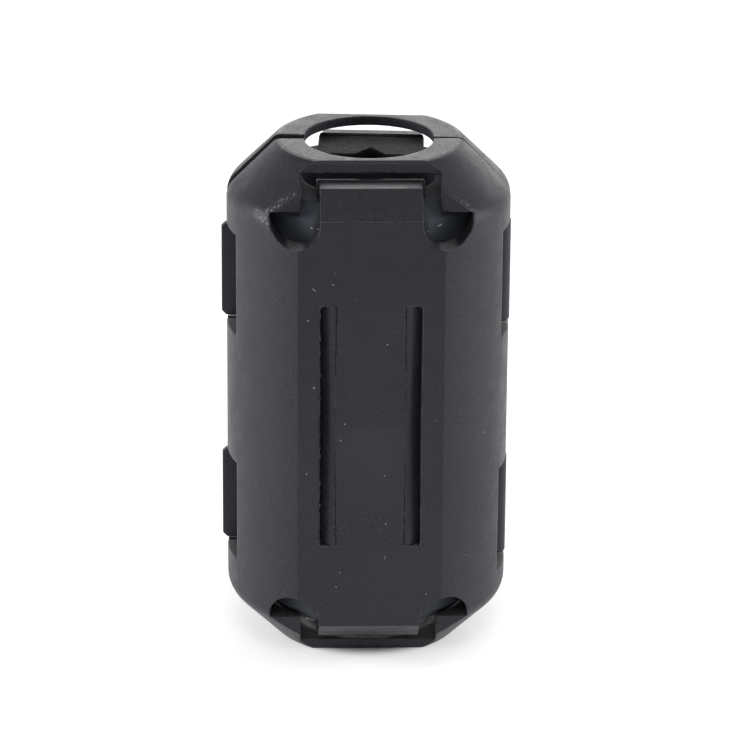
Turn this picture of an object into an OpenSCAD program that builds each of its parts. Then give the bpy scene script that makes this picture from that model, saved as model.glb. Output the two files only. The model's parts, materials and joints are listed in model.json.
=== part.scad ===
// Clip-on ferrite bead: two moulded half shells, each holding half of a ferrite ring, joined by
// two thin hinge straps and closed by two latch arms. The cable runs along Z through the ring.
// Origin on the cable axis, at the bottom end face. The hinge is at +X, the latch at -X, and the
// front half lies at -Y. All lengths are in millimetres.

/* [Ferrite ring] */
// Outer diameter of the ring
core_d = 16; // [15:0.1:20]
// Distance across the two flats of the ring
core_flats = 14; // [13:0.1:14.6]
// Bore of the ring
core_bore = 9.2; // [8.6:0.1:9.8]
// Length of the ring
core_length = 30.6; // [28:0.1:40]
// Chamfer at both ends of the ring
core_chamfer = 1; // [0.6:0.05:1.3]

/* [Shell] */
// Play between the ring and the shell
play = 0.15; // [0.1:0.01:0.25]
// Shell wall at the hinge and latch sides
side_wall = 1.6; // [1.4:0.05:2]
// Shell wall at the flat faces
face_wall = 1.25; // [1.1:0.05:1.6]
// Shell wall under the end chamfers, square to the slope
chamfer_wall = 1.14; // [1:0.02:1.3]
// Thickness of the flat end walls
end_wall = 0.8; // [0.75:0.05:0.95]
// Thickness of an end wall at the edge of the cable hole
hole_edge_t = 0.64; // [0.5:0.02:0.7]
// Space between an end wall and the ring, where the cable grips sit
end_room = 1.825; // [1.7:0.025:2.1]
// Diameter of the cable hole in the end walls
hole_d = 8.86; // [8.2:0.02:9.2]
// Rounding between the body side and the end chamfer
shoulder_r = 1.6; // [1:0.1:4]
// How much further up the end chamfer runs on the round sides than on the flat faces
side_chamfer_more = 0.2; // [0.1:0.02:0.3]
// Rounding of the edge round the end faces
end_edge_r = 0.8; // [0.4:0.1:1]
// How far the two halves stand open about the hinge, in degrees
gap_angle = 3.8; // [3.5:0.1:5]

/* [Face window and leaf spring] */
// Width of the window
window_w = 6.94; // [6.4:0.02:8]
// Length of the window
window_l = 17.5; // [14:0.1:19]
// Radius of the window's corners
window_corner_r = 0.3; // [0.1:0.05:0.6]
// Width of the leaf spring at its outer face
leaf_w = 4.5; // [3.6:0.1:5]
// Thickness of the leaf spring
leaf_t = 0.8; // [0.6:0.05:1]
// How much wider the leaf spring is at its back, on each side
leaf_draft = 0.3; // [0.1:0.05:0.4]
// Clearance between the leaf spring's crease and the ring
leaf_play = 0.05; // [0.03:0.01:0.1]

/* [Cable grips] */
// Width of a grip finger
grip_w = 6.9; // [6:0.1:7.4]
// Free opening between the tips of two opposite grips
grip_opening = 5; // [4.8:0.1:6.4]
// Gap between an end wall and the top of a grip
grip_gap = 0.77; // [0.65:0.02:0.85]
// Depth of the flat on top of a grip
grip_flat = 1.5; // [1.2:0.1:1.8]
// Thickness of the grip's lip at its tip
lip_tip_t = 0.35; // [0.25:0.05:0.45]
// How much wider the lip is than the finger, on each side
lip_overhang = 0.2; // [0.1:0.05:0.4]
// Clearance under the grip's lip
lip_play = 0.18; // [0.12:0.02:0.3]
// Half width of the notch in the lip
notch_half_w = 1.05; // [0.8:0.05:1.3]
// Depth of the notch in the lip
notch_depth = 0.86; // [0.6:0.02:1.1]
// How far the top edge of a grip is set back from the end chamfer
grip_set = 0.53; // [0.4:0.01:0.7]
// Distance from the end of the bead to the line where a grip bends
grip_root = 4.6; // [4.3:0.05:4.9]
// Free slot at each side of a grip in the end chamfer
grip_slot = 1.28; // [1:0.02:1.4]
// Width of the end wall left between the cable hole and the grip
rim = 0.72; // [0.6:0.02:0.8]
// Rounding along the outer edge of that wall
rim_r = 0.28; // [0.1:0.02:0.4]
// Radius of the relief pockets beside each grip
pocket_r = 1.7; // [1.5:0.05:1.8]
// Distance from the end of the bead to the bottom of a relief pocket
pocket_reach = 5.26; // [5.2:0.02:5.5]
// Distance from the end of the bead at which a pocket opens through the wall
pocket_shelf = 3.1; // [2.9:0.05:3.2]
// Depth of the closed part of a pocket below the flat face
pocket_depth = 1.85; // [1.5:0.05:1.9]

/* [Latch] */
// Distance between the centres of the upper and lower latch arms
arm_pitch = 16.65; // [14:0.05:18]
// How far the pair of arms sits above the middle of the bead
arm_rise = 0.2; // [0:0.05:0.5]
// Height of a latch arm
arm_h = 6.7; // [5.5:0.1:7.2]
// Thickness of a latch arm at its lip
arm_t = 1.05; // [0.9:0.05:1.2]
// How far the lip stands proud of the body side
arm_proud = 0.38; // [0.34:0.02:0.6]
// Reach of a latch arm past the parting face when the bead is shut
arm_reach = 1.27; // [1.2:0.01:1.35]
// Where a latch arm bends, as an angle from the parting face
arm_root_angle = 31; // [28:1:34]
// Length of the raised lip at the tip of a latch arm
arm_lip = 0.5; // [0.4:0.05:0.8]
// Bevel on the outer edges of that lip
arm_bevel = 0.3; // [0.1:0.05:0.4]
// Depth of the hook on a latch arm
hook_depth = 0.55; // [0.4:0.05:0.6]
// Length of the hook on a latch arm
hook_l = 0.5; // [0.4:0.02:0.52]
// Gap between a latch arm and the catch opening, above and below
arm_gap = 0.28; // [0.2:0.02:0.4]
// Slot above and below a latch arm in its own shell
arm_slot = 0.6; // [0.5:0.05:1]
// How far a catch opening reaches from the parting face
catch_reach = 3.5; // [3:0.1:4]
// Thickness of the catch bar along Y
catch_bar_t = 0.5; // [0.4:0.02:0.5]
// How far the catch bar is set back from the parting face
catch_bar_set = 0.15; // [0.12:0.01:0.2]
// Gap between the catch bar and a latch arm
catch_gap = 0.25; // [0.2:0.05:0.3]

/* [Hinge] */
// Distance between the centres of the upper and lower hinge straps
strap_pitch = 17.4; // [15:0.05:18]
// How far the pair of straps sits below the middle of the bead
strap_drop = 0.17; // [0:0.01:0.5]
// Height of a hinge strap
strap_h = 7.3; // [6:0.1:7.4]
// Thickness of a hinge strap
strap_t = 0.45; // [0.35:0.05:0.6]
// How far a hinge strap bulges past the body side
strap_proud = 0.08; // [0.06:0.01:0.2]
// Distance from the parting face to the outer edge of a strap's foot
strap_foot = 2.6; // [2.2:0.1:3]
// Gap above and below a strap in its recess
strap_gap = 0.25; // [0.15:0.05:0.4]
// How far a hinge recess reaches from the parting face
recess_reach = 3.6; // [3.2:0.1:4]
// Shell wall left behind a hinge recess
recess_skin = 0.45; // [0.4:0.05:0.6]
// Distance of the hinge line outside the body side
hinge_offset = 0.1; // [0.05:0.01:0.15]

/* [Hidden] */
$fn = 96;

moulding = "#3a3b3f";
moulding_warm = "#45413f";
ferrite = "#26282c";

// The ring, its cavity and the body round it
core_r = core_d / 2;
core_face = core_flats / 2;
cavity_r = core_r + play;
cavity_face = core_face + play;
body_r = cavity_r + side_wall;
body_face = cavity_face + face_wall;
core_end = end_wall + end_room;
length = core_length + 2 * core_end;
mid_z = length / 2;

// The end chamfer is parallel to the ring's own and leaves chamfer_wall over the cavity
cavity_slope_face = core_face - core_chamfer + play * sqrt(2) - core_end;
cavity_slope_side = core_r - core_chamfer + play * sqrt(2) - core_end;
end_chamfer = body_face - cavity_slope_face - chamfer_wall * sqrt(2);
side_chamfer = end_chamfer + side_chamfer_more;
end_r = body_r - side_chamfer;
end_face = body_face - end_chamfer;

// Grips
grip_half = grip_w / 2;
grip_top = end_wall + grip_gap;
lip_under = core_end - lip_play;
lip_tip = grip_opening / 2;
grip_flat_out = end_face + grip_top - grip_set;
grip_flat_in = grip_flat_out - grip_flat;
pocket_x = grip_half + pocket_r;
pocket_centre = pocket_reach - pocket_r;
rim_y = hole_d / 2 + rim;

// Latch and hinge
arm_z = [mid_z + arm_rise + arm_pitch / 2, mid_z + arm_rise - arm_pitch / 2];
strap_z = [mid_z - strap_drop + strap_pitch / 2, mid_z - strap_drop - strap_pitch / 2];
arm_out_r = body_r + arm_proud;
arm_in_r = arm_out_r - arm_t;
hook_r = arm_in_r - hook_depth;
catch_h = arm_h + 2 * arm_gap;
arm_opening_h = arm_h + 2 * arm_slot;
catch_bar_r = arm_in_r - catch_gap;
recess_floor = cavity_r + recess_skin;
recess_h = strap_h + 2 * strap_gap;
hinge_x = body_r + hinge_offset;

// Size of the blocks that cut the body, larger than the bead on every side
far = length;
// How far a cut runs past the face that it opens
past = 1;
// How far pieces of one moulding run into each other where they join
joint = 0.1;
// Cut-outs in the latch side start here, well inside the ring's cavity
side_cut_x = -core_r / 2;

// Joins a rounded corner to a polygon whose corner is cut off between the tangent points
module corner_disc(centre, r) {
    translate(centre) circle(r);
}

// Side of the revolved body: end face, 45 degree chamfer and cylinder, with both corners rounded
module body_profile() {
    edge = end_edge_r * tan(22.5);
    shoulder = shoulder_r * tan(22.5);
    diagonal = sqrt(0.5);
    polygon([
        [0, 0],
        [end_r - edge, 0],
        [end_r + edge * diagonal, edge * diagonal],
        [body_r - shoulder * diagonal, side_chamfer - shoulder * diagonal],
        [body_r, side_chamfer + shoulder],
        [body_r, length - side_chamfer - shoulder],
        [body_r - shoulder * diagonal, length - side_chamfer + shoulder * diagonal],
        [end_r + edge * diagonal, length - edge * diagonal],
        [end_r - edge, length],
        [0, length]
    ]);
    for (z = [end_edge_r, length - end_edge_r])
        corner_disc([end_r - edge, z], end_edge_r);
    for (z = [side_chamfer + shoulder, length - side_chamfer - shoulder])
        corner_disc([body_r - shoulder_r, z], shoulder_r);
}

// Section of the body through its flat faces, seen along X: Y to the right, Z up
module face_profile() {
    edge = end_edge_r * tan(22.5);
    diagonal = sqrt(0.5);
    polygon([
        [-body_face, end_chamfer],
        [-end_face - edge * diagonal, edge * diagonal],
        [-end_face + edge, 0],
        [0, 0],
        [0, length],
        [-end_face + edge, length],
        [-end_face - edge * diagonal, length - edge * diagonal],
        [-body_face, length - end_chamfer]
    ]);
    for (z = [end_edge_r, length - end_edge_r])
        corner_disc([-end_face + edge, z], end_edge_r);
}

// Carries a shape drawn as [y, z] over a width along X, centred on the cable axis
module across_x(w) {
    rotate([90, 0, 90]) translate([0, 0, -w / 2]) linear_extrude(w) children();
}

// Front half of the outer body, solid
module half_body() {
    intersection() {
        rotate_extrude() body_profile();
        across_x(2 * far) face_profile();
        translate([-far, -far, -far]) cube([2 * far, far, 3 * far]);
    }
}

// Room for the ring and the grips, as far as the end walls
module half_cavity() {
    intersection() {
        rotate_extrude() polygon([
            [0, end_wall],
            [cavity_slope_side + end_wall, end_wall],
            [cavity_r, cavity_r - cavity_slope_side],
            [cavity_r, length - cavity_r + cavity_slope_side],
            [cavity_slope_side + end_wall, length - end_wall],
            [0, length - end_wall]
        ]);
        across_x(2 * far) polygon([
            [0, end_wall],
            [-cavity_slope_face - end_wall, end_wall],
            [-cavity_face, cavity_face - cavity_slope_face],
            [-cavity_face, length - cavity_face + cavity_slope_face],
            [-cavity_slope_face - end_wall, length - end_wall],
            [0, length - end_wall]
        ]);
    }
}

// Draws its children at the bottom end and mirrored at the top end
module both_ends() {
    children();
    top_end() children();
}

module top_end() {
    translate([0, 0, length]) mirror([0, 0, 1]) children();
}

// U-shaped relief pockets beside the bottom grip, as seen from the front: X to the right, Z up
module pocket_outline() {
    for (side = [-1, 1]) translate([side * pocket_x, 0]) {
        translate([0, pocket_centre]) circle(pocket_r);
        translate([-pocket_r, -past]) square([2 * pocket_r, pocket_centre + past]);
    }
}

// Carries a shape drawn as [x, z] from the depth y_in out through the front face
module out_through_face(y_in) {
    translate([0, -y_in, 0]) rotate([90, 0, 0]) linear_extrude(far) children();
}

// Everything that is cut away round the bottom grip of the front half
module grip_cut() {
    notch = grip_half + grip_slot;
    out_through_face(body_face - pocket_depth) pocket_outline();
    out_through_face(0) intersection() {
        pocket_outline();
        translate([-far, pocket_shelf]) square([2 * far, far]);
    }
    out_through_face(lip_tip)
        translate([-notch, end_wall]) square([2 * notch, pocket_shelf - end_wall]);
    out_through_face(rim_y) {
        translate([-notch, -past]) square([2 * notch, end_wall + past]);
        translate([-pocket_x, pocket_shelf]) square([2 * pocket_x, grip_root - pocket_shelf]);
    }
}

// Thins the bottom end wall towards the cable hole, from the inside
module hole_edge() {
    rotate_extrude() polygon([
        [0, hole_edge_t],
        [hole_d / 2, hole_edge_t],
        [rim_y, end_wall],
        [0, end_wall + joint]
    ]);
}

// Rounds the outer edge of the wall between the cable hole and the bottom grip
module rim_rounding() {
    across_x(2 * (grip_half + grip_slot)) difference() {
        translate([-rim_y - past, -past]) square(past + rim_r);
        translate([rim_r - rim_y, rim_r]) circle(rim_r);
    }
}

// Spring finger at the bottom end of the front half, with a notched lip that grips the cable
module grip() {
    intersection() {
        union() {
            difference() {
                across_x(2 * pocket_x) polygon([
                    [-body_face, grip_root],
                    [-body_face, end_chamfer],
                    [-grip_flat_out, grip_top],
                    [-grip_flat_in, grip_top],
                    [-grip_flat_in, lip_under],
                    [-cavity_slope_face - lip_under, lip_under],
                    [-cavity_face, cavity_face - cavity_slope_face],
                    [-cavity_face, grip_root]
                ]);
                out_through_face(0) pocket_outline();
                for (side = [-1, 1])
                    translate([side * (grip_half + far / 2), 0, 0])
                        cube([far, 2 * far, 2 * pocket_centre], center = true);
            }
            across_x(grip_w + 2 * lip_overhang) polygon([
                [-grip_flat_in - joint, grip_top + joint],
                [-grip_flat_in, grip_top],
                [-lip_tip, lip_under - lip_tip_t],
                [-lip_tip, lip_under],
                [-grip_flat_in - joint, lip_under]
            ]);
        }
        difference() {
            translate([-far, -far, 0]) cube([2 * far, far, grip_root]);
            linear_extrude(grip_root) polygon([
                [-notch_half_w, -lip_tip],
                [-notch_half_w, 0],
                [notch_half_w, 0],
                [notch_half_w, -lip_tip],
                [0, -lip_tip - notch_depth]
            ]);
        }
    }
}

// Window in the flat face, with rounded corners
module window_outline() {
    w = window_w / 2 - window_corner_r;
    l = window_l / 2 - window_corner_r;
    translate([0, mid_z]) {
        square([window_w, 2 * l], center = true);
        square([2 * w, window_l], center = true);
        for (x = [-w, w], z = [-l, l]) translate([x, z]) circle(window_corner_r);
    }
}

// Leaf spring across the window: flush at both ends, bowed in to its crease on the ring
module leaf_spring() {
    bow = face_wall + play - leaf_t - leaf_play;
    top = mid_z + window_l / 2;
    bottom = mid_z - window_l / 2;
    back = leaf_w / 2 + leaf_draft;
    intersection() {
        across_x(2 * back) polygon([
            [-body_face, top + joint],
            [-body_face, top],
            [-body_face + bow, mid_z],
            [-body_face, bottom],
            [-body_face, bottom - joint],
            [-body_face + leaf_t, bottom - joint],
            [-body_face + leaf_t, bottom],
            [-body_face + leaf_t + bow, mid_z],
            [-body_face + leaf_t, top],
            [-body_face + leaf_t, top + joint]
        ]);
        linear_extrude(length) polygon([
            [-leaf_w / 2, -body_face],
            [leaf_w / 2, -body_face],
            [back, -body_face + leaf_t],
            [back, 0],
            [-back, 0],
            [-back, -body_face + leaf_t]
        ]);
    }
}

// Plan of one catch opening in the front half: the arm rides over the bar and hooks behind it
module catch_plan() {
    bar_front = -catch_bar_set - catch_bar_t;
    difference() {
        translate([side_cut_x - far, -catch_reach]) square([far, catch_reach + past]);
        intersection() {
            circle(catch_bar_r);
            translate([-far, bar_front]) square([far, catch_bar_t]);
        }
    }
}

// Flat-sided recess for one hinge strap
module hinge_recess(z) {
    translate([recess_floor, -recess_reach, z - recess_h / 2]) cube([far, recess_reach + past, recess_h]);
}

// Half shell without its latch features, in the place of the front half
module half_shell() {
    difference() {
        half_body();
        half_cavity();
        cylinder(h = 4 * far, d = hole_d, center = true);
        both_ends() {
            grip_cut();
            hole_edge();
            rim_rounding();
        }
        out_through_face(cavity_face - face_wall) window_outline();
        for (z = strap_z) hinge_recess(z);
    }
    leaf_spring();
}

// Half ring of ferrite with chamfered ends and a flat for the leaf spring
module half_core() {
    intersection() {
        translate([0, 0, core_end]) rotate_extrude() polygon([
            [core_bore / 2, 0],
            [core_r - core_chamfer, 0],
            [core_r, core_chamfer],
            [core_r, core_length - core_chamfer],
            [core_r - core_chamfer, core_length],
            [core_bore / 2, core_length]
        ]);
        across_x(2 * far) translate([0, core_end]) polygon([
            [0, 0],
            [-core_face + core_chamfer, 0],
            [-core_face, core_chamfer],
            [-core_face, core_length - core_chamfer],
            [-core_face + core_chamfer, core_length],
            [0, core_length]
        ]);
    }
}

// Turns a piece drawn as a front half into the rear half, standing open about the hinge line
module rear_place() {
    translate([hinge_x, 0, 0]) rotate([0, 0, -gap_angle]) translate([-hinge_x, 0, 0])
        mirror([0, 1, 0]) children();
}

// Latch arm, drawn on the front side and mirrored into place by rear_place()
module latch_arm(z) {
    a = arm_root_angle;
    mid_r = (arm_in_r + body_r) / 2;
    half = arm_h / 2;
    translate([0, 0, z]) {
        intersection() {
            rotate_extrude() translate([arm_in_r, -half]) square([body_r - arm_in_r, arm_h]);
            linear_extrude(arm_h, center = true) polygon([
                [0, 0],
                [-far * cos(a), -far * sin(a)],
                [-far, 0],
                [-far, arm_reach],
                [-mid_r / 2, arm_reach]
            ]);
        }
        intersection() {
            rotate_extrude() polygon([
                [mid_r, -half],
                [arm_out_r - arm_bevel, -half],
                [arm_out_r, arm_bevel - half],
                [arm_out_r, half - arm_bevel],
                [arm_out_r - arm_bevel, half],
                [mid_r, half]
            ]);
            translate([-far, arm_reach - arm_lip, -half]) cube([far, arm_lip, arm_h]);
        }
        linear_extrude(arm_h, center = true) intersection() {
            polygon([
                [-arm_in_r - joint, arm_reach],
                [-arm_in_r + joint, arm_reach],
                [-hook_r, arm_reach - hook_l],
                [-arm_in_r - joint, arm_reach - hook_l]
            ]);
            circle(arm_out_r);
        }
    }
}

module front_shell() color(moulding) difference() {
    half_shell();
    for (z = arm_z)
        translate([0, 0, z - catch_h / 2]) linear_extrude(catch_h) catch_plan();
}

module rear_shell() color(moulding) rear_place() {
    a = arm_root_angle;
    difference() {
        half_shell();
        for (z = arm_z)
            translate([0, 0, z - arm_opening_h / 2]) linear_extrude(arm_opening_h) polygon([
                [side_cut_x, past],
                [side_cut_x, -arm_in_r * sin(a)],
                [-arm_in_r * cos(a), -arm_in_r * sin(a)],
                [-far * cos(a), -far * sin(a)],
                [-far, past]
            ]);
    }
}

module front_core() color(ferrite) half_core();

module rear_core() color(ferrite) rear_place() half_core();

// What lies inside the recess floor of the front half
module strap_seat() {
    translate([recess_floor - far, -far, -far]) cube([far, far + past / 2, 3 * far]);
}

// Living hinge strap: an arc that bulges out between the recess floors of the two halves
module hinge_strap(z) color(moulding) {
    rise = body_r + strap_proud - recess_floor;
    arc_r = (rise * rise + strap_foot * strap_foot) / (2 * rise);
    difference() {
        translate([body_r + strap_proud - arc_r, 0, z - strap_h / 2]) difference() {
            cylinder(h = strap_h, r = arc_r);
            translate([0, 0, -past]) cylinder(h = strap_h + 2 * past, r = arc_r - strap_t);
        }
        strap_seat();
        rear_place() strap_seat();
    }
}

module hinge_strap_upper() hinge_strap(strap_z[0]);

module hinge_strap_lower() hinge_strap(strap_z[1]);

module latch_arm_upper() color(moulding_warm) rear_place() latch_arm(arm_z[0]);

module latch_arm_lower() color(moulding_warm) rear_place() latch_arm(arm_z[1]);

module front_grip_top() color(moulding) top_end() grip();

module front_grip_bottom() color(moulding) grip();

module rear_grip_top() color(moulding) rear_place() top_end() grip();

module rear_grip_bottom() color(moulding) rear_place() grip();

front_shell();
rear_shell();
front_core();
rear_core();
hinge_strap_upper();
hinge_strap_lower();
latch_arm_upper();
latch_arm_lower();
front_grip_top();
front_grip_bottom();
rear_grip_top();
rear_grip_bottom();
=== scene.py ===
"""Finishes and stage for a clip-on ferrite bead: a Blender add-on that is run as a script."""

import functools
import json
import math

import bmesh
import bpy
import numpy as np
from mathutils import Matrix, Vector


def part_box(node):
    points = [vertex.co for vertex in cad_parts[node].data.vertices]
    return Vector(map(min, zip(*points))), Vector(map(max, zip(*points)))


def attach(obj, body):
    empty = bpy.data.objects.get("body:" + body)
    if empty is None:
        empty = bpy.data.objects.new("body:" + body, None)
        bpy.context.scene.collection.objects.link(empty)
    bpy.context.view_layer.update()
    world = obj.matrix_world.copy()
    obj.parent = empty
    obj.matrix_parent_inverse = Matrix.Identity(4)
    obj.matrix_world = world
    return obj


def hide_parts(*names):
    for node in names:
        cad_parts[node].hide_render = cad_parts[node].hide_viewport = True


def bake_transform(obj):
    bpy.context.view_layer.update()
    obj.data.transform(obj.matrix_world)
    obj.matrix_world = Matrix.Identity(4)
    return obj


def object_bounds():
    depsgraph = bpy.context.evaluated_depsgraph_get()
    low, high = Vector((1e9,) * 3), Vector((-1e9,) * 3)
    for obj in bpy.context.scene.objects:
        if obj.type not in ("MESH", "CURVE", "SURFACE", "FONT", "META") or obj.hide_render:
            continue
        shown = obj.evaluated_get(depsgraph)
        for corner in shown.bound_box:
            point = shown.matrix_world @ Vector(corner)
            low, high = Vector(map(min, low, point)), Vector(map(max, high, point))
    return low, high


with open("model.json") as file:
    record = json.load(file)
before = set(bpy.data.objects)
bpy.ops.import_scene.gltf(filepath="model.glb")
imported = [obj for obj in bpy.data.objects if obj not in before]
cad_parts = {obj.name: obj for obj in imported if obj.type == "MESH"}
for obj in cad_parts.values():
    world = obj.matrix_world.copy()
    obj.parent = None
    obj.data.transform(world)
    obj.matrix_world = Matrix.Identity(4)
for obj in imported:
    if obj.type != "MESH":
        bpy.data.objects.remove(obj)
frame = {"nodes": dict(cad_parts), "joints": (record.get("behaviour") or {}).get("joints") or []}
CAD_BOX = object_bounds()

bl_info = {
    "name": "Clip-on Ferrite Bead",
    "version": (1, 0, 0),
    "blender": (4, 5, 0),
    "location": "View3D > Sidebar > Bead",
    "description": "Dresses a packed ferrite bead with moulded plastic and ferrite, on a stage",
    "category": "Object",
}

MM = 0.001
SHELLS = ("front_shell", "rear_shell")
CORES = ("front_core", "rear_core")
GRIPS = ("front_grip_top", "front_grip_bottom", "rear_grip_top", "rear_grip_bottom")
ARMS = ("latch_arm_upper", "latch_arm_lower")
STRAPS = ("hinge_strap_upper", "hinge_strap_lower")
# The two finishes as (material, slot)
MOULDING = ("moulded_black", "moulding")
FERRITE = ("sintered_ferrite", "ferrite")

# The hinge axis, and the angle by which the latched halves stand apart
HINGE_X = next(j["pos_m"][0] for j in frame["joints"] if j["name"] == "lid_hinge")
HINGE_GAP = math.radians(3.8)

# Sizes that the pieces made here share with the solids, in millimetres
BODY_FACE = 8.4  # from the cable axis to a half's flat outer face
RING_FLAT = -7.0  # y of the ring's front flat
MIDDLE = 17.925  # half the bead's height
WINDOW_HALF = 3.47  # half the window's width
LEAF_HALF = 2.25  # half the leaf's width
LEAF_REACH = 8.75  # half the leaf's height
LEAF_TOUCH = -7.85  # y of the front leaf's crease, where it comes nearest to the ring
GRIP_ROOT = 13.325  # from the middle, up and down, to the lines on which the grips bend
GRIP_EDGE = (-4.76, 34.28)  # inner edge of the front top grip's end, as (y, z)


def mm(values):
    """Millimetres to metres, number by number."""
    return [value * MM for value in values]


def length(name, description, default, **limits):
    """A length setting in metres, shown in the scene's units."""
    return bpy.props.FloatProperty(
        name=name, description=description, default=default, unit="LENGTH", precision=6, **limits
    )


def share(name, description, default):
    """A plain share from 0 to 1."""
    return bpy.props.FloatProperty(
        name=name, description=description, default=default, min=0, max=1, subtype="FACTOR"
    )


def colour(name, description, default):
    """A linear colour setting."""
    return bpy.props.FloatVectorProperty(
        name=name, description=description, default=default, size=3, min=0, max=1, subtype="COLOR"
    )


def number(name, description, default, **limits):
    """A plain number setting."""
    return bpy.props.FloatProperty(name=name, description=description, default=default, **limits)


def angle(name, description, degrees):
    """An angle setting, given here in degrees."""
    return number(name, description, math.radians(degrees), subtype="ANGLE")


class BeadMouldingSettings(bpy.types.PropertyGroup):
    """The black moulded plastic of the shells, grips, arms and straps."""

    tint: colour("Colour", "Colour of the moulded plastic", (0.0108, 0.0113, 0.0165))
    chalk: colour("Scuff Colour", "Colour where the plastic is rubbed", (0.20, 0.20, 0.21))
    dust: colour("Dust Colour", "Colour of the dust specks", (0.28, 0.28, 0.28))
    gloss: share("Roughness", "Roughness of the moulded surface", 0.52)
    mirror: share("Specular", "Strength of the plastic's reflection", 0.34)
    bloom: share("Bloom", "Strength of the dusty bloom seen at a low angle", 0.045)
    wear: share("Edge Wear", "How much the edges are rubbed", 0.85)
    grain: length("Grain", "Size of the fine mould texture", 0.17 * MM, min=0.00001)
    grain_depth: length("Grain Depth", "Depth of the fine mould texture", 0.022 * MM, min=0)
    edge: length("Edge Rounding", "Rounding of the moulded edges", 0.20 * MM, min=0)
    rub: length("Rubbed Edge", "Width of the rubbed line along an edge", 0.09 * MM, min=0)


class BeadFerriteSettings(bpy.types.PropertyGroup):
    """The sintered ferrite ring."""

    tint: colour("Colour", "Colour of the ferrite", (0.036, 0.040, 0.050))
    gloss: share("Roughness", "Roughness of the ground surface", 0.55)
    mirror: share("Specular", "Strength of the ferrite's reflection", 0.25)
    edge: length("Edge Rounding", "Rounding of the ring's edges", 0.3 * MM, min=0)


class BeadStrapSettings(bpy.types.PropertyGroup):
    """The thin moulded straps that join the halves."""

    thickness: length("Thickness", "Thickness of a strap", 0.45 * MM, min=0.0001)
    foot: length("Foot", "How far a strap reaches to each side of the parting face", 2.6 * MM)
    fillet: length("Fillet", "Radius where a foot turns up into the loop", 0.28 * MM, min=0.00001)
    sink: length("Sink", "How far the feet run into the shells", 0.12 * MM, min=0)
    bend: length("Bend", "Half width of the part of a strap that bends", 0.9 * MM, min=0.0001)
    rounding: length("Rounding", "Rounding of a strap's long edges", 0.1 * MM, min=0)


class BeadStageSettings(bpy.types.PropertyGroup):
    """Floor, lights and camera."""

    paper: colour("Floor Colour", "Colour of the floor", (0.86, 0.86, 0.86))
    floor_size: length("Floor Size", "Side of the square floor", 6.0, min=0.1)
    floor_light: number("Floor Light", "Light that the floor gives off", 0.45, min=0)
    world: number("Room Light", "Brightness of the room all round", 0.06, min=0)
    elevation: angle("Elevation", "Height of the camera above the horizon", 20.824)
    azimuth: angle("Azimuth", "Turn of the camera from straight in front", -1.754)
    roll: angle("Roll", "Roll of the camera", 0.418)
    distance: length("Distance", "Distance from the camera to the bead's centre", 0.3, min=0.01)
    lens: number("Lens", "Focal length in millimetres", 206.52, min=1)
    aim_right: number(
        "Aim Right", "How far the camera looks right of the bead's centre, per metre", 0.00182,
        precision=5,
    )
    aim_up: number(
        "Aim Up", "How far the camera looks above the bead's centre, per metre", 0.00205,
        precision=5,
    )


GROUPS = {
    "bead_moulding": BeadMouldingSettings,
    "bead_ferrite": BeadFerriteSettings,
    "bead_strap": BeadStrapSettings,
    "bead_stage": BeadStageSettings,
}


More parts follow.
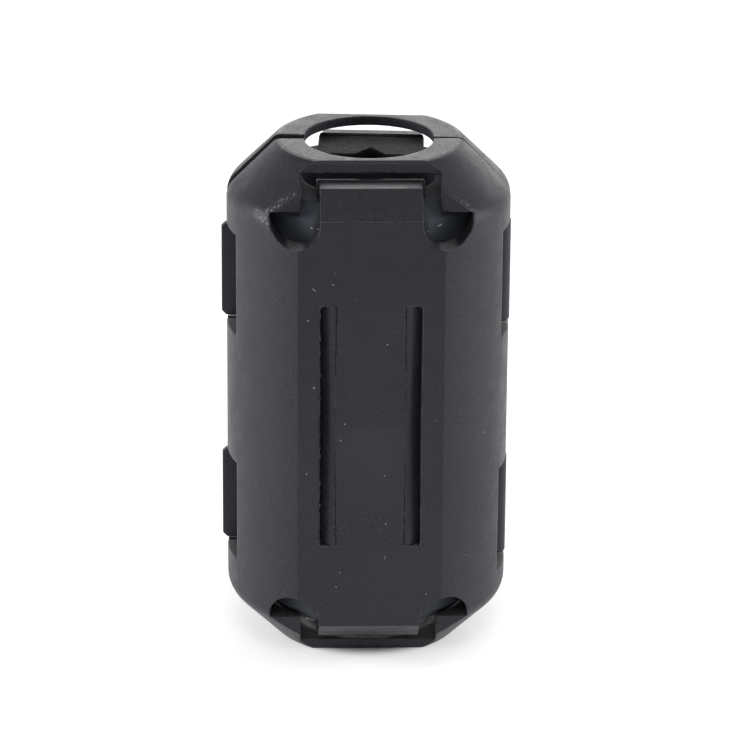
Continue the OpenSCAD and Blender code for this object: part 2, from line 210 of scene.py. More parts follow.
class Nodes:
    """Builds a material's or world's node tree with few words."""

    bevel_samples = 6
    usual_noise = (0.3, 0.7)  # nearly all of a noise lies between these

    def __init__(self, tree):
        self.tree = tree
        tree.nodes.clear()

    def add(self, kind, inputs=None, **values):
        """Adds a node, sets its properties, and sets or links its inputs by name or number."""
        made = self.tree.nodes.new("ShaderNode" + kind)
        for name, value in values.items():
            setattr(made, name, value)
        for key, value in (inputs or {}).items():
            socket = made.inputs[key]
            if isinstance(value, bpy.types.NodeSocket):
                self.tree.links.new(value, socket)
            else:
                socket.default_value = value
        return made

    def math(self, operation, a, b=0.0, c=0.0, clamp=False):
        """One arithmetic step. The third number is for multiply-add."""
        inputs = {0: a, 1: b, 2: c}
        return self.add("Math", inputs, operation=operation, use_clamp=clamp).outputs[0]

    def times(self, a, b):
        """The product of two numbers."""
        return self.math("MULTIPLY", a, b)

    def size(self, value):
        """A number without its sign."""
        return self.math("ABSOLUTE", value)

    def most(self, values):
        """The largest of several numbers."""
        return functools.reduce(lambda a, b: self.math("MAXIMUM", a, b), values)

    def split(self, vector):
        """The x, y and z of a vector."""
        return self.add("SeparateXYZ", {0: vector}).outputs

    def noise(self, place, scale, detail, rough):
        """Noise from 0 to 1 with features of about 1 / scale metres."""
        inputs = {"Vector": place, "Scale": scale, "Detail": detail, "Roughness": rough}
        return self.add("TexNoise", inputs).outputs["Fac"]

    def band(self, value, low, high, to_low=0.0, to_high=1.0):
        """Maps low..high smoothly to to_low..to_high and holds the ends."""
        inputs = {"Value": value, 1: low, 2: high, 3: to_low, 4: to_high}
        made = self.add("MapRange", inputs, interpolation_type="SMOOTHSTEP")
        return made.outputs["Result"]

    def fade(self, value, low, high, full=1.0):
        """Full up to low, falling smoothly to 0 at high."""
        return self.band(value, low, high, full, 0.0)

    def contrast(self, noise):
        """Spreads a noise over the whole of 0 to 1."""
        return self.band(noise, *self.usual_noise)

    def pattern(self, place, noise, band):
        """A noise, one band of which is spread over 0 to 1 or the two values that follow it."""
        return self.band(self.noise(place, *noise), *band)

    def vector(self, operation, a, b=(0, 0, 0)):
        """One vector step. Gives the node, whose first output is a vector and second a number."""
        return self.add("VectorMath", {0: a, 1: b}, operation=operation)

    def away(self, place, start, end):
        """Distance of each point from the straight line between two points."""
        line = Vector(end) - Vector(start)
        out = self.vector("SUBTRACT", place, start).outputs[0]
        dot = self.vector("DOT_PRODUCT", out, line).outputs[1]
        along = self.math("DIVIDE", dot, line.length_squared, clamp=True)
        foot = self.add("VectorMath", {0: tuple(line), "Scale": along}, operation="SCALE")
        return self.vector("DISTANCE", out, foot.outputs[0]).outputs[1]

    def blend(self, fac, a, b):
        """Goes from one vector to another."""
        return self.add("Mix", {0: fac, 4: a, 5: b}, data_type="VECTOR").outputs[1]

    def mix(self, fac, a, b):
        """Mixes two colours."""
        return self.add("Mix", {0: fac, 6: a, 7: b}, data_type="RGBA").outputs[2]

    def paint(self, base, layers):
        """Lays colours over a base, each given as its mask, its strength and its colour."""
        for mask, strength, layer in layers:
            base = self.mix(self.times(mask, strength), base, layer)
        return base

    def rounded(self, radius):
        """The surface's direction with its edges rounded."""
        return self.add("Bevel", {"Radius": radius}, samples=self.bevel_samples).outputs[0]

    def relief(self, height, strength, depth, normal):
        """The surface's direction with a fine relief."""
        inputs = {"Height": height, "Strength": strength, "Distance": depth, "Normal": normal}
        return self.add("Bump", inputs).outputs["Normal"]

    def principled(self, inputs):
        """The material's shader, joined to its output."""
        shader = self.add("BsdfPrincipled", inputs)
        self.add("OutputMaterial", {"Surface": shader.outputs[0]})


def rgba(values, factor=1.0):
    """A colour times a factor, with its alpha."""
    return (*[min(1.0, c * factor) for c in values], 1.0)


def fresh_material(name):
    """A new material and the builder of its empty node tree."""
    material = bpy.data.materials.new(name)
    material.use_nodes = True
    return material, Nodes(material.node_tree)


# Noises of the finishes as (features per metre, detail, roughness)
CLOUD = (700, 4.0, 0.65)  # paler clouds in the moulding
STREAK = (5200, 2.0, 0.55)  # draw marks along the ferrite
# The same with the band of each noise that counts and, for the fluff, what it is spread over
FLOW = (130, 2.0, 0.55), (0.3, 0.7)  # slow drift of the moulding's colour
MOTTLE = (5600, 3.0, 0.75), (0.32, 0.68)  # speckled finish of the moulding
CRUMBS = (5200, 2.0, 0.7), (0.48, 0.60)  # crumbly edge of scuffs and dust
BREAKS = (1500, 4.0, 0.7), (0.36, 0.62)  # where the rubbed line along an edge is broken
FLUFF = (9000, 3.0, 0.8), (0.36, 0.74, 0.14, 0.62)  # dust settled on what faces up
SMOKE = (300, 3.0, 0.55), (0.3, 0.7)  # slow drift of the ferrite's colour
PITS = (4200, 3.0, 0.7), (0.28, 0.4)  # fine pits in the ferrite
# Mould grain and its coarser pores as (detail, roughness), pores per grain, and their height
GRAIN_NOISE = (2.0, 0.6)
PORE_NOISE = (3.0, 0.6)
PORE_SCALE = 0.35
PORE_HEIGHT = 0.8

# Tones of the moulding as multiples of its colour
DRIFT_TONES = (0.5, 0.75)
CLOUD_TONE = 1.7
MOTTLE_TONE = 2.6
# the last is the painted shade at the top of the flat faces
TOP_SHADE_TONE = 0.3
# The band of the cloud noise that is paler, and how much less rough the base is than the setting
CLOUD_BAND = (0.35, 0.7)
BASE_GLOSS = 0.07
# What the speckles and the rubbed places add to the moulding's roughness
SPECKLE_ROUGH = 0.24
WORN_ROUGH = 0.15
# Tones of the ferrite as multiples of its colour: the ends of its drift, and the painted shade on
# its end faces
FERRITE_TONES = (0.98, 1.16)
FERRITE_END_SHADE_TONE = 0.1
# What the ring's end faces and its draw marks add to its roughness, and what its base has less
END_ROUGH = 0.12
STREAK_ROUGH = 0.1
FERRITE_GLOSS = 0.05
# The ferrite's relief: the draw marks' share, how drawn out they are, and its depth in millimetres
STREAK_HEIGHT = 0.25
STREAK_STRETCH = 0.06
FERRITE_DEPTH = 0.008
# Colour of the painted light on the leaf just below its crease, and of the scratches on the ring
CREASE_LIGHT_COLOUR = (0.028, 0.029, 0.033)
SCRATCHED = (0.5, 0.5, 0.52)

# Loose lint: cells per metre, the random lots whose cells have a speck, from none to the largest,
# and the speck's radius and edge in cells
LINT_SCALE = 880.0
LINT_LOT = (0.55, 1.0)
LINT_RADIUS = 0.055
LINT_EDGE = 0.02
# The agreement of the rounded and the flat direction at a rubbed edge: rubbed, then untouched
CORNER = (0.86, 0.955)
# How strongly a scuff shows at its middle
SCUFF_STRENGTH = 0.9
# How far from a grip's root the shells' edges are left out, in millimetres: fully, then not at all
JOIN_FADE = (0.14, 0.20)
# The painted light below the crease: its edge at the crease and how far it fades, in millimetres,
# and its side edge
CREASE_EDGE = 0.15
CREASE_FADE = (0.5, 8.0)
LEAF_SIDE = 1.1
# The painted shade at the top of the flat faces: heights in millimetres, and how squarely a face
# looks outwards
DARK_HEIGHTS = (12, 31)
FACES_OUT = (0.97, 0.995)
# How squarely a face looks up to gather dust, and how squarely the ring's ends look up or down
FACES_UP = (0.90, 0.99)
FACES_END = (0.90, 0.98)

# Rubbed places on the plastic as (start, end, reach) in millimetres
SCUFFS = (
    ((-7.0, -6.5, 32.9), (-5.4, -6.6, 34.1), 0.55),
    ((-7.6, -5.6, 32.4), (-6.9, -6.7, 32.0), 0.50),
    ((5.6, -6.6, 34.0), (7.1, -6.4, 32.9), 0.42),
    ((-6.2, -2.6, 35.8), (-4.6, 1.0, 35.85), 0.30),
    ((4.3, 1.2, 35.85), (5.2, 3.0, 35.85), 0.40),
)
# Dust on the flat face and the leaf as (x, z, radius) in millimetres
DUST = (
    (-3.92, 27.92, 0.09), (-3.78, 27.80, 0.06), (-2.59, 28.21, 0.07), (-1.68, 26.60, 0.06),
    (-0.98, 27.19, 0.05), (0.14, 27.26, 0.06), (0.49, 26.60, 0.06), (-4.27, 25.65, 0.07),
    (-3.85, 20.83, 0.08), (-1.75, 17.98, 0.07), (-2.03, 16.81, 0.07), (-4.34, 14.55, 0.06),
    (1.19, 10.31, 0.07), (1.05, 8.45, 0.05), (1.06, 8.34, 0.05), (1.04, 8.22, 0.05),
    (-2.03, 7.24, 0.05), (-4.90, 6.15, 0.06), (2.90, 12.60, 0.05), (3.90, 5.60, 0.05),
)
# Scratches on the ring as (start, end, half width) in millimetres
SCRATCHES = (
    ((3.75, -7.0, 31.50), (4.75, -6.45, 31.85), 0.035),
    ((-4.1, -6.9, 31.75), (-3.5, -7.0, 31.70), 0.040),
)


def moulded_join(n, place):
    """1 at the heights where the grips bend, which have no edge: they are moulded in one piece."""
    from_middle = n.size(n.math("SUBTRACT", n.split(place)[2], MIDDLE * MM))
    off = n.size(n.math("SUBTRACT", from_middle, GRIP_ROOT * MM))
    return n.fade(off, *mm(JOIN_FADE))


def painted_light_below_crease(n, place):
    """Painted light: 1 on each leaf just below its crease, fading down the leaf, in either half."""
    x, y, z = n.split(place)
    both = n.add("CombineXYZ", {0: x, 1: n.times(n.size(y), -1.0), 2: z})
    reach, touch, middle = mm((LEAF_HALF, LEAF_TOUCH, MIDDLE))
    away = n.away(both.outputs[0], (-reach, touch, middle), (reach, touch, middle))
    below = n.fade(z, middle - CREASE_EDGE * MM, middle)
    within = n.fade(n.size(x), reach, LEAF_SIDE * reach)
    return n.times(n.fade(away, *mm(CREASE_FADE)), n.times(below, within))


def painted_shade_at_top(n, place, normal):
    """Painted shade: rises from 0 to 1 up the flat outer faces, which are painted darker towards
    their top.
    """
    facing = n.size(n.split(normal)[1])
    high = n.band(n.split(place)[2], *mm(DARK_HEIGHTS))
    return n.times(n.band(facing, *FACES_OUT), high)


def face_dust(n, place):
    """1 on the dust specks of the flat faces: round spots at their own x and z."""
    x, _, z = n.split(place)
    flat = n.add("CombineXYZ", {0: x, 2: z}).outputs[0]
    spots = []
    for speck_x, speck_z, radius in DUST:
        away = n.vector("DISTANCE", flat, (speck_x * MM, 0, speck_z * MM)).outputs[1]
        spots.append(n.fade(away, 0.5 * radius * MM, radius * MM))
    return n.most(spots)


def loose_lint(n, place):
    """Scattered specks: the middles of random cells, of random size and strength."""
    lint = n.add("TexVoronoi", {"Vector": place, "Scale": LINT_SCALE, "Randomness": 1.0})
    lot = n.add("SeparateColor", {0: lint.outputs["Color"]}).outputs
    radius = n.band(lot[0], *LINT_LOT, 0.0, LINT_RADIUS)
    speck = n.band(n.math("SUBTRACT", radius, lint.outputs["Distance"]), 0.0, LINT_EDGE)
    return n.times(speck, lot[1])


def rubbed(n, place, flat, join, crumbs, settings):
    """1 where the plastic is rubbed: a broken line along the edges, and the scuffed places.

    An edge is where the rounded direction of the surface turns away from its flat one.
    """
    rim = n.blend(join, n.rounded(settings.rub), flat)
    corner = n.fade(n.vector("DOT_PRODUCT", rim, flat).outputs[1], *CORNER)
    worn = n.times(corner, n.pattern(place, *BREAKS))
    places = [n.times(worn, settings.wear)]
    for start, end, reach in SCUFFS:
        away = n.away(place, mm(start), mm(end))
        places.append(n.times(n.fade(away, 0.0, reach * MM, SCUFF_STRENGTH), crumbs))
    return n.most(places)


def moulded_plastic(name, settings):
    """Satin black nylon: spark-eroded grain, speckled colour, rubbed edges and spots, and dust."""
    material, n = fresh_material(name)
    tint, dust = settings.tint, rgba(settings.dust)
    place = n.add("TexCoord").outputs["Object"]
    flat = n.add("NewGeometry").outputs["Normal"]
    grain = n.noise(place, 1 / settings.grain, *GRAIN_NOISE)
    pores = n.noise(place, PORE_SCALE / settings.grain, *PORE_NOISE)
    cloud = n.noise(place, *CLOUD)
    crumbs = n.pattern(place, *CRUMBS)
    mottle = n.pattern(place, *MOTTLE)
    join = moulded_join(n, place)
    worn = rubbed(n, place, flat, join, crumbs, settings)
    up = n.band(n.split(flat)[2], *FACES_UP)
    settled = n.times(up, n.pattern(place, *FLUFF))
    dark, pale = (rgba(tint, tone) for tone in DRIFT_TONES)
    base = n.paint(
        n.mix(n.pattern(place, *FLOW), dark, pale),
        (
            (n.band(cloud, *CLOUD_BAND), 0.30, rgba(tint, CLOUD_TONE)),
            (mottle, 0.60, rgba(tint, MOTTLE_TONE)),
            # painted light: a paler tone on each leaf just below its crease
            (painted_light_below_crease(n, place), 0.50, rgba(CREASE_LIGHT_COLOUR)),
            # painted shade: darker towards the top of the flat outer faces
            (painted_shade_at_top(n, place, flat), 0.45, rgba(tint, TOP_SHADE_TONE)),
            (settled, 1.0, dust),
            (worn, 1.0, rgba(settings.chalk)),
            (loose_lint(n, place), 1.0, dust),
            (face_dust(n, place), crumbs, dust),
        ),
    )
    speckle = n.times(n.contrast(cloud), mottle)
    rough = n.math("MULTIPLY_ADD", speckle, SPECKLE_ROUGH, settings.gloss - BASE_GLOSS)
    height = n.math("ADD", grain, n.times(pores, PORE_HEIGHT))
    soft = n.blend(join, n.rounded(settings.edge), flat)
    n.principled(
        {
            "Base Color": base,
            "Roughness": n.math("MULTIPLY_ADD", worn, WORN_ROUGH, rough),
            "Specular IOR Level": settings.mirror,
            "IOR": 1.5,
            "Sheen Weight": settings.bloom,
            "Sheen Roughness": 0.35,
            "Normal": n.relief(height, 0.6, settings.grain_depth, soft),
        }
    )
    return material


def sintered_ferrite(name, settings):
    """Dark sintered ferrite: grey, tumbled smooth, with fine pits, draw marks, two scratches and
    painted shade on its end faces.
    """
    material, n = fresh_material(name)
    tint = settings.tint
    place = n.add("TexCoord").outputs["Object"]
    drawn = n.add("Mapping", {"Vector": place, "Scale": (1.0, 1.0, STREAK_STRETCH)}).outputs[0]
    streak = n.noise(drawn, *STREAK)
    # 1 on the ring's end faces, which are given painted shade, as if shadowed by the shells, and
    # more roughness
    ends = n.band(n.size(n.split(n.add("NewGeometry").outputs["Normal"])[2]), *FACES_END)
    lines = []
    for start, end, half in SCRATCHES:
        away = n.away(place, mm(start), mm(end))
        lines.append(n.fade(away, 0.4 * half * MM, half * MM))
    dark, pale = (rgba(tint, tone) for tone in FERRITE_TONES)
    base = n.paint(
        n.mix(n.pattern(place, *SMOKE), dark, pale),
        # painted shade on the ring's end faces, then the scratches
        ((ends, 0.2, rgba(tint, FERRITE_END_SHADE_TONE)), (n.most(lines), 1.0, rgba(SCRATCHED))),
    )
    rough = n.math("MULTIPLY_ADD", ends, END_ROUGH, settings.gloss - FERRITE_GLOSS)
    height = n.math("MULTIPLY_ADD", streak, STREAK_HEIGHT, n.pattern(place, *PITS))
    soft = n.rounded(settings.edge)
    n.principled(
        {
            "Base Color": base,
            "Roughness": n.math("MULTIPLY_ADD", n.contrast(streak), STREAK_ROUGH, rough),
            "Specular IOR Level": settings.mirror,
            "IOR": 1.5,
            "Normal": n.relief(height, 0.5, FERRITE_DEPTH * MM, soft),
        }
    )
    return material


# How each finish is made, and the name of its settings
FINISHES = {
    "moulded_black": (moulded_plastic, "bead_moulding"),
    "sintered_ferrite": (sintered_ferrite, "bead_ferrite"),
}


def finish_named(name):
    """The finished material of that name, made on first use."""
    found = bpy.data.materials.get(name)
    if found is None:
        make, group = FINISHES[name]
        found = make(name, getattr(bpy.context.scene, group))
    return found


def finish(piece, material, slot):
    """Gives a piece or a CAD node its material. The slot is not used."""
    piece.data.materials.clear()
    piece.data.materials.append(finish_named(material))


def dress(nodes, material, slot):
    """Finishes CAD nodes. A node keeps its mesh, its place and its body."""
    for node in nodes:
        finish(frame["nodes"][node], material, slot)


def new_piece(mesh, body=None):
    """Links a finished mesh as a moulded piece of the same name, which may ride on a CAD body."""
    piece = bpy.data.objects.new(mesh.name, mesh)
    bpy.context.scene.collection.objects.link(piece)
    if body:
        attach(piece, body)
    finish(piece, *MOULDING)
    return piece


def closed_tube(name, rings):
    """A closed mesh from cross-sections of equal count: quads between them, a face on each end."""
    rows, count, _ = rings.shape
    index = np.arange(rows * count).reshape(rows, count)
    right = np.roll(index, -1, axis=1)
    quads = np.stack([index[:-1], right[:-1], right[1:], index[1:]], axis=-1).reshape(-1, 4)
    faces = [*quads.tolist(), index[0][::-1].tolist(), index[-1].tolist()]
    mesh = bpy.data.meshes.new(name)
    mesh.from_pydata(rings.reshape(-1, 3), [], faces)
    mesh.validate()
    work = bmesh.new()
    work.from_mesh(mesh)
    bmesh.ops.recalc_face_normals(work, faces=work.faces)
    work.to_mesh(mesh)
    work.free()
    return mesh


def smooth(mesh, degrees):
    """Shades a mesh smooth, but for the edges that are sharper than an angle."""
    mesh.polygons.foreach_set("use_smooth", np.ones(len(mesh.polygons), bool))
    mesh.set_sharp_from_angle(angle=math.radians(degrees))


def rounded_rectangle(width, height, radius, steps=4):
    """Corner arcs of a rectangle, going round once: (points, 2)."""
    turn = np.linspace(0, math.pi / 2, steps + 1)
    arc = radius * np.stack([np.cos(turn), np.sin(turn)], axis=1)
    corners = []
    for (side_x, side_y), (c, s) in (
        ((1, 1), (1, 0)),
        ((-1, 1), (0, 1)),
        ((-1, -1), (-1, 0)),
        ((1, -1), (0, -1)),
    ):
        centre = [side_x * (width / 2 - radius), side_y * (height / 2 - radius)]
        corners.append(arc @ np.array([[c, s], [-s, c]]) + centre)
    return np.concatenate(corners)


def to_rear(points):
    """Mirrors front points across the parting face and turns them with the rear half."""
    x, y, z = points[..., 0] - HINGE_X, -points[..., 1], points[..., 2]
    c, s = math.cos(HINGE_GAP), math.sin(HINGE_GAP)
    return np.stack([HINGE_X + x * c + y * s, y * c - x * s, z], axis=-1)


class BEAD_OT_shells(bpy.types.Operator):
    """Dress the two moulded half shells"""

    bl_idname = "bead.shells"
    bl_label = "Half Shells"

    def execute(self, context):
        dress(SHELLS, *MOULDING)
        return {"FINISHED"}


class BEAD_OT_grips(bpy.types.Operator):
    """Dress the four spring grips that hold the cable"""

    bl_idname = "bead.grips"
    bl_label = "Cable Grips"

    def execute(self, context):
        dress(GRIPS, *MOULDING)
        return {"FINISHED"}


class BEAD_OT_grip_lips(bpy.types.Operator):
    """Make the low rib along the inner edge of each grip's end"""

    bl_idname = "bead.grip_lips"
    bl_label = "Grip Lips"

    # Half the rib's width, its height, its depth and how far it sinks in, in millimetres
    half_width, rise, depth, sink = 3.62, 0.20, 0.13, 0.03
    closing = 0.03  # share of the half width over which an end closes
    end_size = 0.04  # square of the size to which an end closes

    def execute(self, context):
        top = self.rings()
        bottom = top * np.array([1, 1, -1]) + np.array([0, 0, 2 * MIDDLE * MM])
        front = (("top", top), ("bottom", bottom))
        rear = [(end, to_rear(points)) for end, points in front]
        for half, ends in (("front", front), ("rear", rear)):
            for end, points in ends:
                mesh = closed_tube(f"{half}_{end}_grip_lip", points)
                smooth(mesh, 50)
                new_piece(mesh, f"{half}_{end}_grip")
        return {"FINISHED"}

    def rings(self, rows=25, steps=13):
        """Half an ellipse carried along x, which closes to a small rounded end on a quarter circle.

        The rows crowd towards the ends as a sine does.
        """
        along = np.sin(np.linspace(-math.pi / 2, math.pi / 2, rows))
        past = np.clip((np.abs(along) - (1 - self.closing)) / self.closing, 0, 1)
        swell = np.sqrt(np.clip(1 - past**2, self.end_size, 1))[:, None]
        turn = np.linspace(0, math.pi, steps)
        half = self.depth / 2
        y = GRIP_EDGE[0] - half + half * np.cos(turn)[None] * swell
        z = GRIP_EDGE[1] - self.sink + (self.rise + self.sink) * np.sin(turn)[None] * swell
        x = np.broadcast_to((self.half_width * along)[:, None], y.shape)
        return np.stack([x, y, z], axis=-1) * MM


class BEAD_OT_latch_arms(bpy.types.Operator):
    """Dress the two latch arms"""

    bl_idname = "bead.latch_arms"
    bl_label = "Latch Arms"

    def execute(self, context):
        dress(ARMS, *MOULDING)
        return {"FINISHED"}


class BEAD_OT_ring(bpy.types.Operator):
    """Dress the two halves of the ferrite ring"""

    bl_idname = "bead.ring"
    bl_label = "Ferrite Ring"

    def execute(self, context):
        dress(CORES, *FERRITE)
        return {"FINISHED"}


class BEAD_OT_hinge_straps(bpy.types.Operator):
    """Make the two hinge straps"""

    bl_idname = "bead.hinge_straps"
    bl_label = "Hinge Straps"

    def execute(self, context):
        settings = context.scene.bead_strap
        for node in STRAPS:
            low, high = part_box(node)
            mesh = closed_tube(node + "_web", self.rings(low, high, settings))
            smooth(mesh, 40)
            piece = new_piece(mesh)
            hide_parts(node)
            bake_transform(piece)
        return {"FINISHED"}

    @staticmethod
    def rings(low, high, settings, steps=16, foot_rows=3):
        """A flat foot, a fillet, a half round over the parting face, and the same back down.

        The path lies in the middle of the strap. Beyond the parting face it turns with the rear
        half.
        """
        half = settings.thickness / 2
        floor = low.x - settings.sink + half
        fillet = settings.fillet
        bow = high.x - half - floor - fillet
        quarter = np.linspace(0, math.pi / 2, steps)
        c, s = np.cos(quarter), np.sin(quarter)
        foot = np.linspace(-settings.foot, -bow - fillet, foot_rows + 1)[:-1]
        on_foot = np.ones(foot_rows)
        x = [on_foot * floor, floor + fillet * (1 - c), floor + fillet + bow * s[1:]]
        y = [foot, -bow - fillet + fillet * s, -bow * c[1:]]
        out_x = [on_foot, c, s[1:]]
        out_y = [on_foot * 0, -s, -c[1:]]
        path, out = (
            np.stack([np.concatenate(part) for part in parts], axis=1)
            for parts in ((x, y), (out_x, out_y))
        )
        mirror = np.array([1, -1])
        path = np.concatenate([path, path[-2::-1] * mirror])
        out = np.concatenate([out, out[-2::-1] * mirror])
        section = rounded_rectangle(settings.thickness, high.z - low.z, settings.rounding)
        flat = path[:, None] + out[:, None] * section[None, :, :1]
        turn = HINGE_GAP * np.clip(path[:, 1] / bow, 0, 1)[:, None]
        arm = flat[..., 0] - HINGE_X
        turned_x = HINGE_X + arm * np.cos(turn) + flat[..., 1] * np.sin(turn)
        turned_y = flat[..., 1] * np.cos(turn) - arm * np.sin(turn)
        z = np.broadcast_to((low.z + high.z) / 2 + section[None, :, 1], turned_x.shape)
        return np.stack([turned_x, turned_y, z], axis=-1)


class BEAD_OT_leaf_flanks(bpy.types.Operator):
    """Make the flared flanks of the leaf spring in each half"""

    bl_idname = "bead.leaf_flanks"
    bl_label = "Leaf Flanks"

    # The section's back and rib as (x, drop below the leaf's face), in millimetres as all of these
    back = ((1.9, 0.12), (2.37, 0.12), (2.43, 0.02), (2.50, 0.02))
    # Where the hollow slope starts and ends beyond the leaf's edge
    slope_start, slope_end = 0.33, 1.13
    # How deep it starts, how far it falls, and by which power of its width
    first_drop, fall, power = 0.04, 0.60, 1.6
    under = 0.9  # drop of the underside
    overrun, clearance = 0.08, 0.12  # past the leaf at each end, and off the ring

    def execute(self, context):
        for side, word in ((-1, "left"), (1, "right")):
            front = self.rings(side)
            for body, rings in (("front", front), ("rear", to_rear(front))):
                mesh = closed_tube(f"{body}_leaf_flank_{word}", rings)
                smooth(mesh, 35)
                new_piece(mesh, body)
        return {"FINISHED"}

    def rings(self, side, steps=41, slope_steps=9):
        """A hollow slope from a low rib beside the leaf down towards the ring.

        The section keeps its shape and follows the leaf, which bows in by a tent function of
        height.
        """
        low, high = MIDDLE - LEAF_REACH, MIDDLE + LEAF_REACH
        z = np.linspace(low - self.overrun, high + self.overrun, steps)
        bow = (LEAF_TOUCH + BODY_FACE) * np.clip(1 - np.abs(z - MIDDLE) / LEAF_REACH, 0, 1)
        face = -BODY_FACE + bow
        back_x, back_drop = np.array(self.back).T
        slope = np.linspace(0, 1, slope_steps)
        rib, foot = LEAF_HALF + self.slope_start, LEAF_HALF + self.slope_end
        x = np.concatenate([back_x, rib + (foot - rib) * slope, [foot, back_x[0]]])
        hollow = self.first_drop + self.fall * slope**self.power
        drop = np.concatenate([back_drop, hollow, [self.under, self.under]])
        y = np.minimum(face[:, None] + drop[None], RING_FLAT - self.clearance)
        x = np.broadcast_to(side * x, y.shape)
        z = np.broadcast_to(z[:, None], y.shape)
        return np.stack([x, y, z], axis=-1) * MM


class BEAD_OT_window_flash(bpy.types.Operator):
    """Make the thin moulding flash along one edge of the front window"""

    bl_idname = "bead.window_flash"
    bl_label = "Window Flash"

    short = 0.4  # how far it stops from each end of the window, in millimetres
    # Its least thickness and what each unit of raggedness adds, in millimetres, up to a most
    least, more, most = 0.012, 0.045, 1.6
    # Waves of its raggedness as (share, radians per millimetre, start)
    waves = ((1.0, 7.3, 0.0), (0.8, 11.9, 1.0), (0.6, 3.1, 2.0))
    # Corners of its section in thicknesses
    corners = ((-0.5, 0.5), (1.0, 0.3), (-0.5, -0.8))

    def execute(self, context):
        new_piece(closed_tube("window_flash", self.rings()), "front")
        return {"FINISHED"}

    def rings(self, steps=240):
        """A three-sided thread along the edge, as thick as a sum of sines, cut off below zero."""
        low, high = MIDDLE - LEAF_REACH, MIDDLE + LEAF_REACH
        z = np.linspace(low + self.short, high - self.short, steps)
        ragged = sum(part * np.sin(rate * z + start) for part, rate, start in self.waves)
        thick = (self.least + self.more * np.clip(ragged, 0, self.most))[:, None]
        corner_x, corner_y = np.array(self.corners).T
        x = -WINDOW_HALF + thick * corner_x
        y = -BODY_FACE + thick * corner_y
        z = np.broadcast_to(z[:, None], x.shape)
        return np.stack([x, y, z], axis=-1) * MM


# Softboxes as (turn from straight in front, height above the horizon, side, distance, watts)
LIGHTS = {
    "softbox_top": (0, 90, 0.60, 0.60, 0.66),
    "softbox_front_high": (0, 50, 0.35, 0.70, 1.25),
    "softbox_front_low": (0, 15, 0.35, 0.70, 0.50),
    "softbox_left": (270, 15, 0.35, 0.70, 3.60),
    "softbox_right": (90, 15, 0.35, 0.70, 2.75),
    "softbox_back": (180, 12, 0.35, 0.70, 1.30),
    "softbox_back_left": (210, 15, 0.35, 0.70, 0.50),
    "softbox_back_right": (150, 15, 0.35, 0.70, 1.10),
    "softbox_right_high": (120, 50, 0.35, 0.70, 0.35),
}


def outwards(turn, height):
    """The direction at a turn from straight in front and a height above the horizon, in radians."""
    level = math.cos(height)
    return Vector((math.sin(turn) * level, -math.cos(turn) * level, math.sin(height)))


def bead_centre():
    """The point on the cable axis at half the bead's height."""
    return Vector((0, 0, (CAD_BOX[0].z + CAD_BOX[1].z) / 2))


def softbox(name, turn, height, side, distance, power):
    """A square area light on a sphere round the bead, which faces its centre and isn't seen."""
    light = bpy.data.lights.new(name, "AREA")
    light.size = side
    light.energy = power
    box = bpy.data.objects.new(name, light)
    bpy.context.scene.collection.objects.link(box)
    out = outwards(math.radians(turn), math.radians(height))
    box.location = bead_centre() + out * distance
    box.rotation_mode = "QUATERNION"
    box.rotation_quaternion = (-out).to_track_quat("-Z", "Y")
    box.visible_camera = False


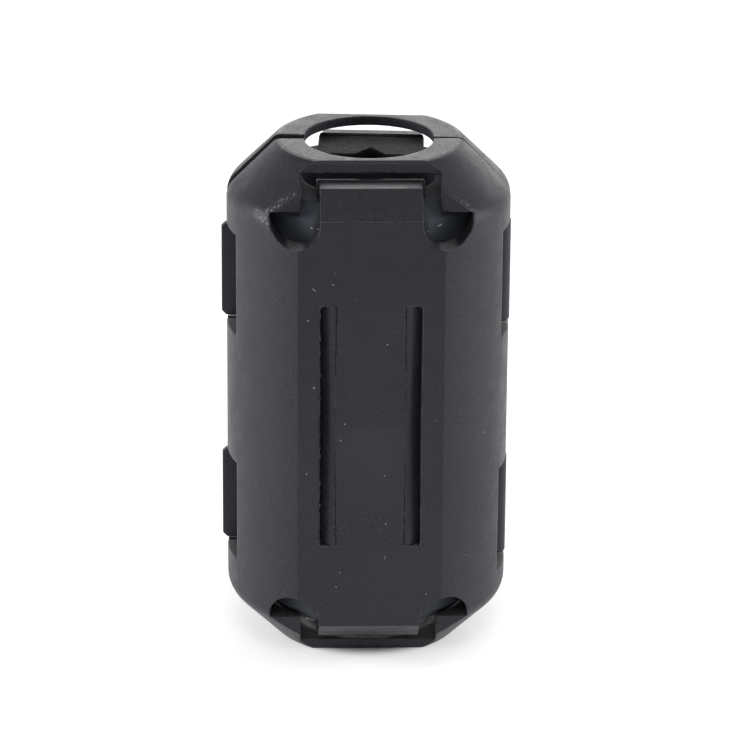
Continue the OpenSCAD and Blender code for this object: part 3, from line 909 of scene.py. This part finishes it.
class BEAD_OT_stage(bpy.types.Operator):
    """Set up the pale floor, the soft lights and the camera"""

    bl_idname = "bead.stage"
    bl_label = "Stage"

    # How far from the axis the floor's own light starts and is full, in millimetres, so that
    # none shows under the bead
    glow_edge = (5.0, 6.6)
    # Width of the camera's frame in millimetres, and the nearest and furthest it sees in metres
    sensor_width = 36
    nearest, furthest = 0.01, 20

    def execute(self, context):
        settings = context.scene.bead_stage
        self.floor(settings)
        self.world(context.scene, settings)
        for name, values in LIGHTS.items():
            softbox(name, *values)
        self.camera(context.scene, settings)
        context.scene.view_settings.view_transform = "Standard"
        return {"FINISHED"}

    def floor(self, settings):
        """One square at the height the bead stands on."""
        half = settings.floor_size / 2
        corners = [(-half, -half, 0), (half, -half, 0), (half, half, 0), (-half, half, 0)]
        mesh = bpy.data.meshes.new("floor")
        mesh.from_pydata(corners, [], [(0, 1, 2, 3)])
        material, n = fresh_material("floor_paper")
        off = n.vector("LENGTH", n.add("TexCoord").outputs["Object"]).outputs[1]
        glow = n.band(off, *mm(self.glow_edge), 0.0, settings.floor_light)
        n.principled(
            {
                "Base Color": rgba(settings.paper),
                "Roughness": 0.7,
                "Specular IOR Level": 0.2,
                "Emission Color": (1, 1, 1, 1),
                "Emission Strength": glow,
            }
        )
        mesh.materials.append(material)
        floor = bpy.data.objects.new("floor", mesh)
        bpy.context.scene.collection.objects.link(floor)

    @staticmethod
    def world(scene, settings):
        """Even, neutral light from all round."""
        world = bpy.data.worlds.new("studio")
        world.use_nodes = True
        n = Nodes(world.node_tree)
        light = n.add("Background", {"Color": (1, 1, 1, 1), "Strength": settings.world})
        n.add("OutputWorld", {"Surface": light.outputs[0]})
        scene.world = world

    def camera(self, scene, settings):
        """Camera on a sphere round the bead's centre, rolled, then aimed a little up and aside."""
        roll = settings.roll
        back = outwards(settings.azimuth, settings.elevation)
        right = (-back).cross(Vector((0, 0, 1))).normalized()
        up = right.cross(-back)
        tilted_right = right * math.cos(roll) + up * math.sin(roll)
        tilted_up = up * math.cos(roll) - right * math.sin(roll)
        aim = tilted_right * settings.aim_right + tilted_up * settings.aim_up
        look = (-back + aim).normalized()
        right = (tilted_right - look * tilted_right.dot(look)).normalized()
        up = right.cross(look)
        camera = bpy.data.objects.new("camera", bpy.data.cameras.new("camera"))
        scene.collection.objects.link(camera)
        turn = Matrix((right, up, -look)).transposed().to_4x4()
        place = bead_centre() + back * settings.distance
        camera.matrix_world = Matrix.Translation(place) @ turn
        camera.data.lens = settings.lens
        camera.data.sensor_width = self.sensor_width
        camera.data.clip_start = self.nearest
        camera.data.clip_end = self.furthest
        scene.camera = camera


OPERATORS = (
    BEAD_OT_stage,
    BEAD_OT_shells,
    BEAD_OT_grips,
    BEAD_OT_grip_lips,
    BEAD_OT_latch_arms,
    BEAD_OT_ring,
    BEAD_OT_hinge_straps,
    BEAD_OT_leaf_flanks,
    BEAD_OT_window_flash,
)


class BEAD_PT_panel(bpy.types.Panel):
    """Lists the steps that dress the bead"""

    bl_idname = "BEAD_PT_panel"
    bl_label = "Ferrite Bead"
    bl_space_type = "VIEW_3D"
    bl_region_type = "UI"
    bl_category = "Bead"

    def draw(self, context):
        for operator in OPERATORS:
            self.layout.operator(operator.bl_idname)


def register():
    """Registers the classes and hangs the settings on the scene."""
    for made in (*GROUPS.values(), *OPERATORS, BEAD_PT_panel):
        bpy.utils.register_class(made)
    for name, group in GROUPS.items():
        setattr(bpy.types.Scene, name, bpy.props.PointerProperty(type=group))


def unregister():
    """Undoes register, in the opposite order."""
    for name in GROUPS:
        delattr(bpy.types.Scene, name)
    for made in (BEAD_PT_panel, *reversed(OPERATORS), *reversed(list(GROUPS.values()))):
        bpy.utils.unregister_class(made)


def main():
    """Runs every step in order."""
    register()
    for operator in OPERATORS:
        getattr(bpy.ops.bead, operator.bl_idname.split(".")[1])()


if __name__ == "__main__":
    main()
